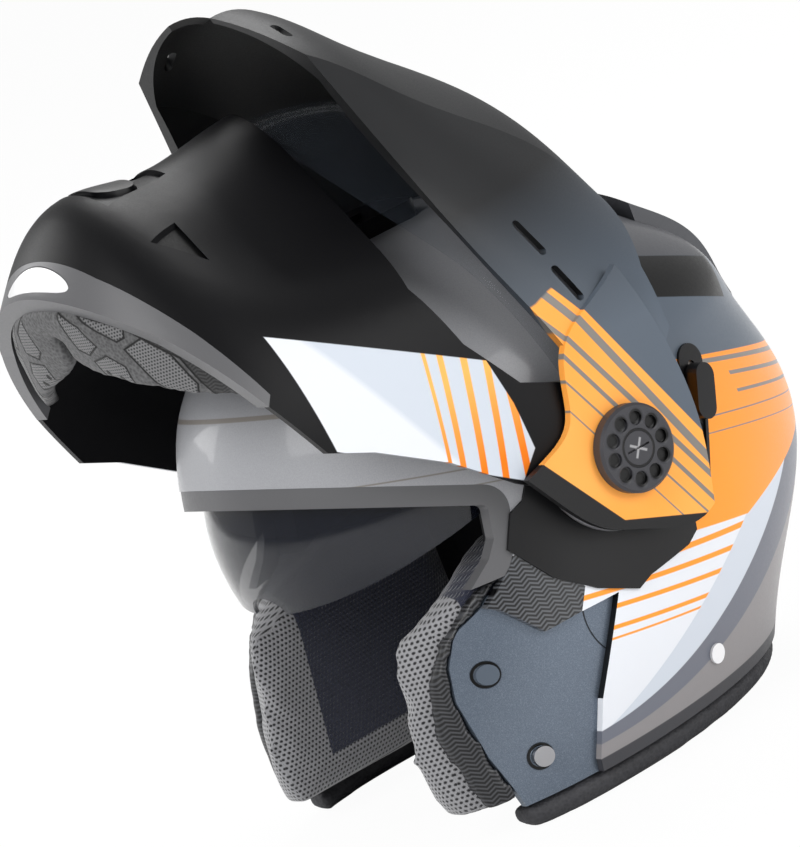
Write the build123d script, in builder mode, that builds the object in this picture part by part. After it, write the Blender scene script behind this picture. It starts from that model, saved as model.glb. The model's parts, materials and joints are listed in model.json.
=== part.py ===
from build123d import *
from math import atan2, cos, degrees, hypot, radians, sin
import os

os.makedirs("parts", exist_ok=True)

# Frame: the origin is under the middle of the head, on the plane that the neck roll rests on.
# +Y is the back of the head, +X the wearer's left. The skins of the chin bar, the visor and the
# peak are drawn as they lie when the helmet is shut, round the one axis that carries them, and
# are then turned up to the pose in which the helmet stands open.

# The shared axis
pivot_height = 139.0  # above the resting plane
chin_rise = 85.0  # degrees that the chin bar is raised
peak_rise = 45.0  # degrees that the peak rises with it
fan_spread = 6.0  # degrees that a skin's inner body is wider than its outer one
overrun = 40.0  # that cutting bodies reach past what they cut
fit_gap = 0.3  # between pieces that move past each other or are soft
lap_gap = 0.1  # between rigid pieces of one body

# Outer shell
shell_wall = 4.0
shell_half_width = 112.0
shell_front = 136.0  # from the axis
shell_rear = 162.0
crown_height = 117.0  # above the axis
shell_drop = 127.0  # below the axis
plan_shares = ((0, 1), (0.38, 0.94), (0.72, 0.73), (0.93, 0.40))  # of half width, of half length
# each row: level, half width, front, rear, place of the widest point
shell_shares = (
    (-1.10, 0.925, 1.16, 0.600, -0.35),
    (-1.00, 0.946, 1.15, 0.640, -0.33),
    (-0.79, 0.973, 1.10, 0.740, -0.26),
    (-0.47, 1.000, 1.04, 0.914, -0.10),
    (-0.12, 1.000, 1.00, 0.955, 0.04),
    (0.21, 0.985, 0.975, 0.875, 0.07),
    (0.47, 0.925, 0.915, 0.785, 0.08),
    (0.68, 0.775, 0.800, 0.600, 0.06),
    (0.855, 0.571, 0.610, 0.490, 0.04),
    (0.957, 0.320, 0.370, 0.270, 0.02),
    (0.999, 0.050, 0.060, 0.040, 0.00),
)

# Front opening of the shell, as shares of shell_front and of shell_drop
port_shares = (
    (-1.40, 0.60), (-0.985, 0.335), (-0.37, 0.05), (-0.404, -0.134), (-0.456, -0.213),
    (-0.574, -0.315), (-0.669, -0.362), (-0.72, -0.465), (-0.743, -0.583), (-0.728, -0.795),
    (-0.684, -0.992), (-0.66, -1.30), (-1.40, -1.30),
)
port_corners = 7  # counted from the axis outward
port_corner_round = 12.0
gasket_width = 9.0
gasket_depth = 6.0
gasket_sink = 0.5
gasket_foot = 30.0  # below the axis

# Side panels that the shut chin bar covers
panel_shares = (
    (-0.160, -0.457), (-0.344, -0.765), (-0.419, -0.954), (-0.45, -1.30), (-0.90, -1.30),
    (-0.90, -0.30), (-0.588, -0.303), (-0.537, -0.338), (-0.44, -0.465), (-0.304, -0.457),
)
panel_wall = 3.4
panel_lap = 6.0
carbon_shares = (
    (-0.40, -0.185), (-0.262, -0.384), (-0.304, -0.457), (-0.44, -0.465), (-0.537, -0.338),
    (-0.588, -0.303), (-0.588, -0.185),
)

# Foam and lining
foam_thickness = 20.0
lining_thickness = 8.0
foam_foot = 22.0  # above the resting plane
lining_edge = 8.0  # above the axis
cheek_line = 55.0  # in front of the axis, where the cheek pads replace the foam
cheek_ceiling = 18.0  # below the axis

# Neck roll
roll_width = 16.0
roll_inset = 3.0
roll_front = 93.5  # in front of the axis
roll_round = 4.0

# Cheek pads and their edge trims
cheek_inner = 58.0
cheek_shares = (
    (-0.37, -0.145), (-0.59, -0.255), (-0.79, -0.345), (-0.87, -0.52), (-0.885, -0.76),
    (-0.84, -0.975), (-0.30, -0.975), (0.03, -0.975), (0.03, -0.145),
)
trim_thickness = 6.0
trim_sink = 3.0
trim_shares = (
    (-0.44, -0.24), (-0.515, -0.24), (-0.569, -0.257), (-0.703, -0.380), (-0.771, -0.494),
    (-0.821, -0.687), (-0.804, -0.817), (-0.785, -0.965), (-0.44, -0.965),
)

# Clear visor: rows of angle above the horizontal and radii along visor_stations
visor_wall = 2.3
visor_half_width = 116.0
visor_stations = (0, 0.26, 0.52, 0.735, 0.865, 0.95, 1)
visor_radius = 188.0
visor_angles = (-11, 0, 12, 24, 33)
visor_shares = (
    (1.000, 0.915, 0.755, 0.635, 0.555, 0.455, 0.290),
    (0.947, 0.872, 0.733, 0.617, 0.537, 0.436, 0.280),
    (0.878, 0.822, 0.697, 0.585, 0.510, 0.415, 0.266),
    (0.803, 0.764, 0.665, 0.553, 0.479, 0.383, 0.245),
    (0.763, 0.729, 0.644, 0.527, 0.452, 0.362, 0.234),
)
ear_radius = 24.0

# Chin bar: half outlines at its top and bottom, as shares of chin_nose and chin_half_width
chin_wall = 4.0
chin_nose = 190.0
chin_half_width = 121.0
chin_top_shares = (
    (0, 1), (0.20, 0.945), (0.50, 0.750), (0.89, 0.525), (0.975, 0.300), (1, 0.105), (1, -0.20),
)
chin_foot_shares = (
    (0, 1), (0.24, 0.965), (0.50, 0.84), (0.73, 0.65), (0.84, 0.50), (0.875, 0.36), (0.885, -0.20),
)
chin_foot = 168.0  # below the axis
# each row: level below the axis, blend from top to bottom outline, nose
chin_level_shares = (
    (-0.18, 0.0, 1.00), (0.01, 0.0, 1.00), (0.205, 0.0, 1.00), (0.39, 0.26, 0.99), (0.607, 0.55, 1.01),
    (0.756, 0.85, 1.03), (0.88, 1.0, 0.965), (1.0, 1.0, 0.885),
)
# side outlines of the chin bar and its lip, as shares of chin_nose and chin_foot: the top from the
# nose back to the arm, the rear edge downward, the seam above the lip forward, the foot line forward
chin_side_shares = (
    (-1.12, -0.164), (-1.00, -0.209), (-0.75, -0.239), (-0.56, -0.305), (-0.40, -0.270), (-0.26, -0.184),
)
chin_rear_shares = ((-0.065, -0.315), (-0.19, -0.458), (-0.30, -0.626), (-0.352, -0.737))
lip_end_share = (-0.505, -0.809)
lip_seam_shares = ((-0.526, -0.788), (-0.71, -0.839), (-0.884, -0.895), (-1.12, -0.929))
foot_line_shares = ((-0.526, -0.818), (-0.71, -0.893), (-0.884, -0.985), (-1.12, -1.04))
arm_radius = 30.0

# Peak: rows of angle and radii along peak_stations
peak_wall = 3.5
peak_half_width = 127.0
peak_stations = (0, 0.16, 0.36, 0.57, 0.75, 0.86, 0.955, 1)
peak_radius = 240.0
peak_crease = 3  # the station where the roof bends down into the sides
peak_angles = (32, 42, 55, 72, 80, 92)
peak_shares = (
    (1.000, 0.985, 0.945, 0.883, 0.565, 0.405, 0.290, 0.210),
    (0.880, 0.870, 0.820, 0.720, 0.530, 0.410, 0.295, 0.210),
    (0.745, 0.735, 0.690, 0.610, 0.485, 0.395, 0.300, 0.210),
    (0.634, 0.624, 0.588, 0.522, 0.440, 0.380, 0.300, 0.208),
    (0.582, 0.573, 0.540, 0.485, 0.425, 0.370, 0.297, 0.206),
    (0.560, 0.552, 0.518, 0.465, 0.410, 0.355, 0.290, 0.205),
)
peak_tip = ((18.5, 250), (18, 225), (7, 227.5), (0, 221.5), (-7, 227.5), (-18, 225), (-18.5, 250))
peak_arm_inner = 123.0
# outlines of the raised peak in the side view: its rear edge downward, and the arm's two curves,
# forward and down its front to the low tip, then back and up
peak_rear_edge = (
    (64, 230), (88, 135), (77, 109), (59, 84), (46, 66), (42, 43), (44, 14), (39, -14), (35, -60),
)
arm_front = ((26, 75), (2, 63), (-12, 54), (-19, 38), (-25, 21), (-40, 13), (-54, 9))
arm_foot = ((-54, 9), (-43, -7), (-23, -28), (-9, -34), (16, -43), (31, -40))
arm_back = ((31, -40), (35, -25), (39, -2), (39, 17), (35, 45), (26, 75))
peak_slots = ((2.0, 98.5, 103), (5.0, 75.5, 102))  # place and lean of the slots in its sides
peak_slot_length = 18.0
peak_slot_width = 4.0
peak_slot_inner = 84.0
roof_slot = (50.0, -41.0)  # across and along, mirrored
roof_slot_length = 11.0

# Pivots
axle_radius = 7.0
axle_gap = 0.05
plate_radius = 34.0
cover_wall = 1.3
cover_outline = (
    (-36, 14), (-47, -3), (-54, -6), (-61, -20), (-48, -39), (-31, -52), (-12, -61), (-4, -58), (21, -55),
    (28, -51), (31, -33), (24, -20), (-20, 20),
)
knob_radius = 19.5
knob_height = 6.0
knob_dimples = 10
dimple_radius = 3.0
dimple_depth = 1.6

# Sun visor: a spheroid about its own axis
sun_axis_front = 36.0  # in front of the shared axis
sun_axis_rise = 2.0  # above it
sun_radius = 92.0
sun_half_width = 90.0
sun_wall = 2.0
sun_top = 28.0  # degrees above its axis when down
sun_foot = -15.0
sun_lift = 36.0  # degrees that it swings up
sun_nose_width = 26.0
sun_nose_height = 9.0
pocket_gap = 1.5
sun_pocket_spare = 2.0  # degrees past the raised sun visor
sun_pin_radius = 3.0
sun_pin_gap = 0.05
sun_ear_radius = 10.0
sun_boss_radius = 13.0
sun_boss_length = 12.0

# Lever of the sun visor, on the left side behind the peak's arm
track_top = (60.0, 16.0)  # behind and above the axis
track_foot = (34.0, -40.0)
track_width = 15.0
track_rise = 1.6
lever_length = 25.0
lever_width = 11.0
lever_height = 8.0
lever_gap = 1.1
lever_lean = 0.06  # outward per unit of travel
lever_travel = 35.0
lever_steps = 14

# Vents on the crown and at the rear
vent_length = 46.0
vent_width = 40.0
vent_height = 3.5
vent_front = 34.0  # in front of the axis
slider_length = 14.0
slider_width = 20.0
slider_height = 2.6
spoiler_front = 100.0  # behind the axis
spoiler_length = 48.0
spoiler_width = 88.0
spoiler_height = 6.0

# Chin bar's fittings
lip_depth = 9.0
recess_outline = ((14, -84), (27, -123), (-27, -123), (-14, -84))  # across and above the axis, shut
recess_depth = 2.2
chin_button_width = 34.0
chin_button_height = 20.0
chin_button_drop = 108.5  # below the axis, shut
button_gap = 0.4
grille_corners = ((44.5, -107), (51, -125), (63.5, -110))  # across and above the axis, mirrored
release_width = 54.0
release_height = 8.0
release_drop = 157.5
release_depth = 5.0
guard_thickness = 8.0
guard_half_width = 92.0
# lower limits of the guard along the helmet and across it, above the axis
guard_run = ((-200, -167), (-168, -164.5), (-132, -158.5), (-90, -151))
guard_bow = ((98, -129), (85, -137), (60, -150), (30, -160.5), (0, -165))
chin_foam_foot = 130.0
foam_half_width = 80.0
foam_rear = 128.0  # in front of the axis
sweep_shares = ((0, 1.02), (0.16, 0.995), (0.30, 0.94), (0.42, 0.86), (0.50, 0.815), (1.10, 0.815))
# of its half width, of chin_nose
guard_plan_shares = ((0, 0.705), (0.16, 0.665), (0.5, 0.615), (0.80, 0.555), (1.02, 0.525))
guard_notch_width = 7.0
guard_notch_depth = 12.0
chin_foam_top = 62.0
strike_place = (-80.0, -109.0)  # along the helmet and above the axis
strike_clear = 1.4  # under the heads of the pins
# half width and radius about the axis of the room that the visor's sides turn in
room_rim = (
    (116.3, 0), (116.3, 56.0), (115.9, 62.0), (115.1, 68.5), (113.8, 76.0), (111.7, 84.0), (108.9, 92.0),
)

# Rivets
rivet_radius = 4.5
rivet_height = 1.6
strap_rivet_place = (-87.0, -67.0)
rear_rivet_place = (21.0, -108.0)

pivot_axis = Axis((0, 0, pivot_height), (1, 0, 0))
side_plane = Plane(origin=(0, 0, pivot_height), x_dir=(0, 1, 0), z_dir=(1, 0, 0))
wide = shell_half_width + overrun


def ray_plane(angle):
    """The plane through the shared axis that lies at an angle above the horizontal, seen along X."""
    a = radians(angle)
    return Plane(origin=(0, 0, pivot_height), x_dir=(1, 0, 0), z_dir=(0, -sin(a), -cos(a)))


def polar(radius, angle):
    """A point of the side view, in front of the axis at an angle above the horizontal."""
    return (-radius * cos(radians(angle)), radius * sin(radians(angle)))


def scaled(shares, along, up):
    return [(along * a, up * b) for a, b in shares]


def side_prism(points, depth=wide):
    """A closed outline of the side view, carried across the helmet."""
    with BuildPart() as prism:
        with BuildSketch(side_plane):
            with BuildLine():
                Polyline(*points, close=True)
            make_face()
        extrude(amount=depth, both=True)
    return prism.part


domes = {}


def dome(inset):
    """The shell's outer form, drawn in by an inset."""
    if inset in domes:
        return domes[inset]
    with BuildPart() as body:
        for level, width, front, rear, widest in shell_shares:
            height = level * (crown_height - inset if level > 0 else shell_drop)
            middle = widest * shell_front
            ahead = front * shell_front - inset + middle
            behind = rear * shell_rear - inset - middle
            half = max(width * shell_half_width - inset, width * axle_radius)
            ahead = max(ahead, width * axle_radius)
            behind = max(behind, width * axle_radius)
            right = [(half * x, middle - ahead * y) for x, y in plan_shares]
            right += [(half, middle)]
            right += [(half * x, middle + behind * y) for x, y in reversed(plan_shares)]
            left = [(-x, y) for x, y in reversed(right[1:-1])]
            with BuildSketch(Plane.XY.offset(pivot_height + height)):
                with BuildLine():
                    Spline(*right, *left, periodic=True)
                make_face()
        loft()
    domes[inset] = body.part
    return body.part


def fan_body(angles, rows, stations, radius, half_width, inset, spread=0, crease=0):
    """A body between rays of the side view: over each ray it rises from the axis to the given radii.
    With a crease, the roof bends sharply into the sides at that station."""
    with BuildPart() as body:
        last = len(angles) - 1
        for number, (angle, shares) in enumerate(zip(angles, rows)):
            turn = -spread if number == 0 else spread if number == last else 0
            right = [
                (station * (half_width - inset), share * radius - inset)
                for station, share in zip(stations, shares)
            ]
            left = [(-x, r) for x, r in reversed(right[1:])]
            with BuildSketch(ray_plane(angle + turn)):
                with BuildLine():
                    if crease:
                        Spline(*left[: len(left) - crease + 1])
                        Spline(*left[-crease:], *right[: crease + 1])
                        Spline(*right[crease:])
                    else:
                        Spline(*left, *right)
                    Polyline(right[-1], (half_width - inset, 0), (inset - half_width, 0), left[0])
                make_face()
        loft()
    return body.part


def level_block(low, high, reach=wide):
    """A block between two heights above the axis, wider and longer than the helmet."""
    with BuildPart() as block:
        with BuildSketch(Plane.XY.offset(pivot_height + low)):
            Rectangle(2 * (shell_half_width + reach), 2 * (peak_radius + reach))
        extrude(amount=high - low)
    return block.part


def half_block(sign):
    """Everything on one side of the helmet's middle plane."""
    with BuildPart() as block:
        with BuildSketch(side_plane):
            Rectangle(2 * (peak_radius + overrun), 2 * (peak_radius + overrun))
        extrude(amount=sign * (wide + overrun))
    return block.part


def cross_cylinder(place, radius, start, end):
    """A round body along X at a place of the side view, between two distances from the middle."""
    with BuildPart() as round_body:
        with BuildSketch(side_plane.offset(start)):
            with Locations(place):
                Circle(radius)
        extrude(amount=end - start)
    return round_body.part


def keep_pair(name, part):
    """Writes the two mirrored solids of a part as a left and a right node."""
    for side, sign in (("left", 1), ("right", -1)):
        with BuildPart() as one:
            add(part)
            add(half_block(sign), mode=Mode.INTERSECT)
        keep(f"{name}_{side}", one.part)


written = {}


def keep(name, part):
    """Labels a finished piece and writes it."""
    solids = part.solids()
    piece = solids[0] if len(solids) == 1 else Compound(children=list(solids))
    piece.label = name
    export_step(piece, f"parts/{name}.step")
    written[name] = piece


# Side-view outlines that more than one piece follows
with BuildPart() as port_cut:
    with BuildSketch(side_plane) as port_face:
        with BuildLine():
            Polyline(*scaled(port_shares, shell_front, shell_drop), close=True)
        make_face()
        fillet(vertices().sort_by_distance((0, 0))[:port_corners], port_corner_round)
    extrude(amount=wide, both=True)

with BuildPart() as port_clear:
    with BuildSketch(side_plane):
        add(port_face.sketch_local)
        offset(amount=-fit_gap, kind=Kind.INTERSECTION, mode=Mode.REPLACE)
    extrude(amount=wide, both=True)

with BuildPart() as port_inner:
    with BuildSketch(side_plane):
        add(port_face.sketch_local)
        offset(amount=-gasket_width, kind=Kind.INTERSECTION, mode=Mode.REPLACE)
    extrude(amount=wide, both=True)

panel_zone = side_prism(scaled(panel_shares, shell_front, shell_drop))
carbon_zone = side_prism(scaled(carbon_shares, shell_front, shell_drop))
outer_form = dome(0)
inner_form = dome(shell_wall)
below_shell = level_block(-pivot_height - overrun, -shell_drop)

# Outer shell: one moulding, open below and in front, with bores for the pivots
with BuildPart() as outer_shell:
    add(outer_form)
    add(inner_form, mode=Mode.SUBTRACT)
    add(port_cut.part, mode=Mode.SUBTRACT)
    add(panel_zone, mode=Mode.SUBTRACT)
    add(carbon_zone, mode=Mode.SUBTRACT)
    add(cross_cylinder((0, 0), axle_radius + shell_wall, -wide, wide), mode=Mode.SUBTRACT)
    add(below_shell, mode=Mode.SUBTRACT)
keep("outer_shell", outer_shell.part)

# Gasket round the eye port
with BuildPart() as eyeport_gasket:
    add(dome(gasket_sink))
    add(dome(gasket_sink + gasket_depth), mode=Mode.SUBTRACT)
    add(port_cut.part, mode=Mode.INTERSECT)
    add(port_inner.part, mode=Mode.SUBTRACT)
    add(level_block(-gasket_foot, crown_height), mode=Mode.INTERSECT)
keep("eyeport_gasket", eyeport_gasket.part)

# Side panels behind the shut chin bar, lapped under the shell's edge
panel_sink = shell_wall + lap_gap
with BuildPart() as side_panels:
    add(dome(panel_sink))
    add(dome(panel_sink + panel_wall), mode=Mode.SUBTRACT)
    with BuildSketch(side_plane):
        with BuildLine():
            Polyline(*scaled(panel_shares, shell_front, shell_drop), close=True)
        make_face()
        offset(amount=panel_lap)
    extrude(amount=wide, both=True, mode=Mode.INTERSECT)
    add(port_cut.part, mode=Mode.SUBTRACT)
    with BuildSketch(side_plane):
        with Locations(strap_rivet_place, strike_place):
            Circle(0.5 * rivet_radius)
    extrude(amount=wide, both=True, mode=Mode.SUBTRACT)
    add(below_shell, mode=Mode.SUBTRACT)
keep_pair("side_panel", side_panels.part)

# Woven inserts between the gasket's ends and the side panels
with BuildPart() as inserts:
    add(dome(lap_gap))
    add(dome(shell_wall + lap_gap), mode=Mode.SUBTRACT)
    add(carbon_zone, mode=Mode.INTERSECT)
    add(port_cut.part, mode=Mode.SUBTRACT)
keep_pair("carbon_insert", inserts.part)

# Impact foam inside the shell, with the pocket that the sun visor swings up into
sun_place = (-sun_axis_front, sun_axis_rise)
sun_axis = Axis((0, -sun_axis_front, pivot_height + sun_axis_rise), (1, 0, 0))
sun_plane = Plane(
    origin=(0, -sun_axis_front, pivot_height + sun_axis_rise), x_dir=(1, 0, 0), z_dir=(0, 0, -1)
)


def sun_band(outer_gap, inner_gap, low, high, root):
    """A sector of the spheroid's wall, swung from one angle to another about the sun visor's axis."""
    with BuildPart() as band:
        with BuildSketch(sun_plane):
            Ellipse(sun_half_width + outer_gap, sun_radius + outer_gap)
            Ellipse(
                sun_half_width - sun_wall - inner_gap,
                sun_radius - sun_wall - inner_gap,
                mode=Mode.SUBTRACT,
            )
            with Locations((0, root)):
                Rectangle(
                    2 * (sun_half_width + overrun),
                    sun_radius + overrun,
                    align=(Align.CENTER, Align.MIN),
                    mode=Mode.INTERSECT,
                )
        revolve(axis=sun_axis, revolution_arc=high - low)
    return band.part.rotate(sun_axis, -high)


# The room that the side panels' laps take out of the foam
with BuildPart() as panel_pocket:
    with BuildSketch(side_plane):
        with BuildLine():
            Polyline(*scaled(panel_shares, shell_front, shell_drop), close=True)
        make_face()
        offset(amount=panel_lap + fit_gap)
    extrude(amount=wide, both=True)
    add(dome(panel_sink + panel_wall + fit_gap), mode=Mode.SUBTRACT)

sun_pocket = sun_band(pocket_gap, pocket_gap, sun_foot, sun_top + sun_lift + sun_pocket_spare, 0)
foam_sink = shell_wall + fit_gap
cavity_sink = foam_sink + foam_thickness
with BuildPart() as eps_liner:
    add(dome(foam_sink))
    add(dome(cavity_sink), mode=Mode.SUBTRACT)
    add(port_cut.part, mode=Mode.SUBTRACT)
    add(level_block(-pivot_height - overrun, foam_foot - pivot_height), mode=Mode.SUBTRACT)
    add(
        side_prism(
            [
                (-cheek_line, -cheek_ceiling),
                (-shell_front - overrun, -cheek_ceiling),
                (-shell_front - overrun, -pivot_height),
                (-cheek_line, -pivot_height),
            ]
        ),
        mode=Mode.SUBTRACT,
    )
    add(sun_pocket, mode=Mode.SUBTRACT)
    for sign in (1, -1):
        ends = sorted(
            (sign * (sun_half_width - 2 * sun_wall - pocket_gap), sign * (sun_half_width + pocket_gap))
        )
        add(cross_cylinder(sun_place, sun_boss_radius + pocket_gap, *ends), mode=Mode.SUBTRACT)
    add(cross_cylinder(sun_place, sun_pin_radius, -wide, wide), mode=Mode.SUBTRACT)
    add(cross_cylinder((0, 0), axle_radius + shell_wall + fit_gap, -wide, wide), mode=Mode.SUBTRACT)
    add(panel_pocket.part, mode=Mode.SUBTRACT)
keep("eps_liner", eps_liner.part)

# Comfort lining of the crown
with BuildPart() as crown_liner:
    add(dome(cavity_sink + fit_gap))
    add(dome(cavity_sink + lining_thickness), mode=Mode.SUBTRACT)
    add(port_cut.part, mode=Mode.SUBTRACT)
    add(level_block(lining_edge, crown_height), mode=Mode.INTERSECT)
    add(sun_pocket, mode=Mode.SUBTRACT)
keep("crown_liner", crown_liner.part)

# Soft roll round the neck, under the shell's edge, flat where it rests
level, width, front, rear, widest = shell_shares[1]


def neck_outline(inset):
    """Half of the shell's lower outline, drawn in by an inset, mirrored to a closed loop."""
    middle = widest * shell_front
    half = width * shell_half_width - inset
    ahead = front * shell_front - inset + middle
    behind = rear * shell_rear - inset - middle
    right = [(half * x, middle - ahead * y) for x, y in plan_shares] + [(half, middle)]
    right += [(half * x, middle + behind * y) for x, y in reversed(plan_shares)]
    return right + [(-x, y) for x, y in reversed(right[1:-1])]


with BuildPart() as neck_roll:
    with BuildSketch(Plane.XY):
        with BuildLine():
            Spline(*neck_outline(roll_inset), periodic=True)
        make_face()
        with BuildLine():
            Spline(*neck_outline(roll_inset + roll_width), periodic=True)
        make_face(mode=Mode.SUBTRACT)
        with Locations((0, -roll_front)):
            Rectangle(
                2 * wide, shell_front + overrun, align=(Align.CENTER, Align.MAX), mode=Mode.SUBTRACT
            )
    extrude(amount=pivot_height - shell_drop - fit_gap)
    fillet(faces().filter_by(Axis.Z).sort_by(Axis.Z)[0].edges(), roll_round)
keep("neck_roll", neck_roll.part)

# Cheek pads: inside the foam at the back, out to the trims ahead of it
pad_sink = trim_sink + trim_thickness + fit_gap
cheek_block = side_prism(scaled(cheek_shares, shell_front, shell_drop))
with BuildPart() as pad_fronts:
    add(dome(pad_sink))
    add(cheek_block, mode=Mode.INTERSECT)
    with BuildSketch(side_plane):
        with Locations((-cheek_line - fit_gap, -cheek_ceiling - fit_gap)):
            Rectangle(shell_front, shell_drop, align=(Align.MAX, Align.MAX))
    extrude(amount=wide, both=True, mode=Mode.INTERSECT)

with BuildPart() as cheek_pads:
    add(dome(cavity_sink + fit_gap))
    add(cheek_block, mode=Mode.INTERSECT)
    add(pad_fronts.part)
    with BuildSketch(side_plane):
        Rectangle(2 * peak_radius, 2 * peak_radius)
    extrude(amount=cheek_inner, both=True, mode=Mode.SUBTRACT)
keep_pair("cheek_pad", cheek_pads.part)

# Stitched trims along the front edges of the cheek pads
with BuildPart() as cheek_trims:
    add(dome(trim_sink))
    add(dome(trim_sink + trim_thickness), mode=Mode.SUBTRACT)
    add(side_prism(scaled(trim_shares, shell_front, shell_drop)), mode=Mode.INTERSECT)
    add(port_clear.part, mode=Mode.INTERSECT)
keep_pair("cheek_trim", cheek_trims.part)

# Base plates and axles: a boss through the shell, a thin flange on it and the axle outside
flange_outer = visor_half_width - visor_wall - fit_gap
axle_end = peak_half_width + 0.6 * knob_height
for side, sign in (("left", 1), ("right", -1)):
    outward = side_plane if sign > 0 else Plane(side_plane.origin, x_dir=(0, -1, 0), z_dir=(-1, 0, 0))
    with BuildPart() as pivot_plate:
        with BuildSketch(outward.offset(shell_half_width + lap_gap)):
            Circle(plate_radius)
        extrude(amount=flange_outer - shell_half_width - lap_gap)
        add(dome(-lap_gap), mode=Mode.SUBTRACT)
        with BuildSketch(outward.offset(shell_half_width - 2 * shell_wall)):
            Circle(axle_radius + shell_wall)
        extrude(amount=2 * shell_wall)
        with BuildSketch(outward.offset(shell_half_width - shell_wall)):
            Circle(axle_radius)
        extrude(amount=axle_end - shell_half_width + shell_wall)
    keep(f"pivot_plate_{side}", pivot_plate.part)

# Covers round the pivots, on the shell's form inside the arms
with BuildPart() as pivot_covers:
    add(dome(-cover_wall))
    add(dome(-lap_gap), mode=Mode.SUBTRACT)
    with BuildSketch(side_plane):
        with BuildLine():
            Polyline(*cover_outline, close=True)
        make_face()
        Circle(1.05 * plate_radius, mode=Mode.SUBTRACT)
    extrude(amount=wide, both=True, mode=Mode.INTERSECT)
keep_pair("pivot_cover", pivot_covers.part)


def studs(places, radius, outer_sink, inner_sink):
    """Round pieces that follow the shell's form between two insets, on both sides."""
    with BuildPart() as group:
        with BuildSketch(side_plane):
            with Locations(*places):
                Circle(radius)
        extrude(amount=wide, both=True)
        add(dome(outer_sink), mode=Mode.INTERSECT)
        add(dome(inner_sink), mode=Mode.SUBTRACT)
    return group.part


# Rivets: one on each side panel, where the strap ends, and one at each side of the shell's rear
with BuildPart() as strap_rivets:
    add(studs([strap_rivet_place], rivet_radius, panel_sink - rivet_height, panel_sink))
    add(studs([strap_rivet_place], 0.5 * rivet_radius, panel_sink, panel_sink + panel_wall))
keep("strap_rivets", strap_rivets.part)
keep("rear_rivets", studs([rear_rivet_place], rivet_radius, -rivet_height, 0))

# Headed pins on the side panels that the chin bar locks on
head_sink = panel_sink - strike_clear
with BuildPart() as striker_pins:
    add(studs([strike_place], rivet_radius, head_sink - rivet_height, head_sink))
    add(studs([strike_place], 0.5 * rivet_radius, head_sink, panel_sink + panel_wall))
keep("striker_pins", striker_pins.part)


# Chin bar, drawn shut: level outlines blended from its top to its foot
def drawn_in(points, inset):
    """An open, mirrored half outline moved inward across its own direction."""
    moved = []
    for number, (x, y) in enumerate(points):
        x0, y0 = points[number - 1] if number else (-points[1][0], points[1][1])
        x1, y1 = points[number + 1] if number + 1 < len(points) else (x, y)
        run = hypot(x1 - x0, y1 - y0)
        moved.append((x - inset * (y1 - y0) / run, y + inset * (x1 - x0) / run))
    return moved


def chin_form(inset):
    """The chin bar's outer form, drawn in by an inset."""
    with BuildPart() as body:
        for level, blend, nose in chin_level_shares:
            right = []
            for (x0, y0), (x1, y1) in zip(chin_top_shares, chin_foot_shares):
                across = (x0 + blend * (x1 - x0)) * chin_half_width
                along = (y0 + blend * (y1 - y0)) * chin_nose * nose
                right.append((across, -along))
            right = drawn_in(right, inset)
            with BuildSketch(Plane.XY.offset(pivot_height - level * chin_foot)):
                with BuildLine():
                    bow = Spline(*[(-x, y) for x, y in reversed(right[1:])], *right)
                    Line(bow @ 1, bow @ 0)
                make_face()
        loft()
    return body.part


def raised(part, angle=chin_rise):
    """A piece drawn shut, turned up to its open pose about the shared axis."""
    return part.rotate(pivot_axis, -angle)


lip_end = scaled([lip_end_share], chin_nose, chin_foot)
lip_seam = scaled(lip_seam_shares, chin_nose, chin_foot)
with BuildPart() as chin_side:
    with BuildSketch(side_plane):
        with BuildLine():
            Polyline(
                *scaled(chin_side_shares, chin_nose, chin_foot),
                polar(arm_radius, 45),
                (0, 0),
                polar(arm_radius, -100),
                *scaled(chin_rear_shares, chin_nose, chin_foot),
                *lip_end,
                *lip_seam,
                close=True,
            )
        make_face()
        Circle(arm_radius)
    extrude(amount=peak_half_width, both=True)

lip_side = side_prism(
    [(y, z - lap_gap) for y, z in lip_end + lip_seam]
    + [*reversed(scaled(foot_line_shares, chin_nose, chin_foot))]
)
chin_outer = chin_form(0)
chin_inner = chin_form(chin_wall)


def front_prism(start, points, mirrored=False):
    """Outlines across and above the axis, carried forward through the nose of the chin bar."""
    with BuildPart() as prism:
        with BuildSketch(Plane.XZ.offset(start)):
            for sign in (1, -1) if mirrored else (1,):
                with BuildLine():
                    Polyline(*[(sign * x, pivot_height + z) for x, z in points], close=True)
                make_face()
        extrude(amount=chin_nose + overrun)
    return prism.part


# The sweep of the visor inside the raised chin bar, which its inner pieces stay out of
with BuildPart() as sweep:
    with BuildSketch(Plane(origin=(0, 0, pivot_height), x_dir=(1, 0, 0), z_dir=(0, 0, -1))):
        right = [(x * chin_half_width, r * visor_radius) for x, r in sweep_shares]
        with BuildLine():
            Polyline(
                *[(-x, r) for x, r in reversed(right[1:])],
                *right,
                (right[-1][0], 0),
                (-right[-1][0], 0),
                close=True,
            )
        make_face()
    revolve(axis=pivot_axis)

with BuildPart() as button_cut:
    with BuildSketch(Plane.XZ.offset(chin_nose - overrun)):
        with Locations((0, pivot_height - chin_button_drop)):
            RectangleRounded(
                chin_button_width + 2 * button_gap, chin_button_height + 2 * button_gap,
                0.4 * chin_button_height,
            )
    extrude(amount=2 * overrun)

grille_cut = front_prism(0, grille_corners, mirrored=True)
recess_block = front_prism(0, recess_outline)
with BuildPart() as button_recess:
    add(chin_form(-recess_depth))
    add(chin_form(recess_depth), mode=Mode.SUBTRACT)
    add(recess_block, mode=Mode.INTERSECT)

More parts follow.
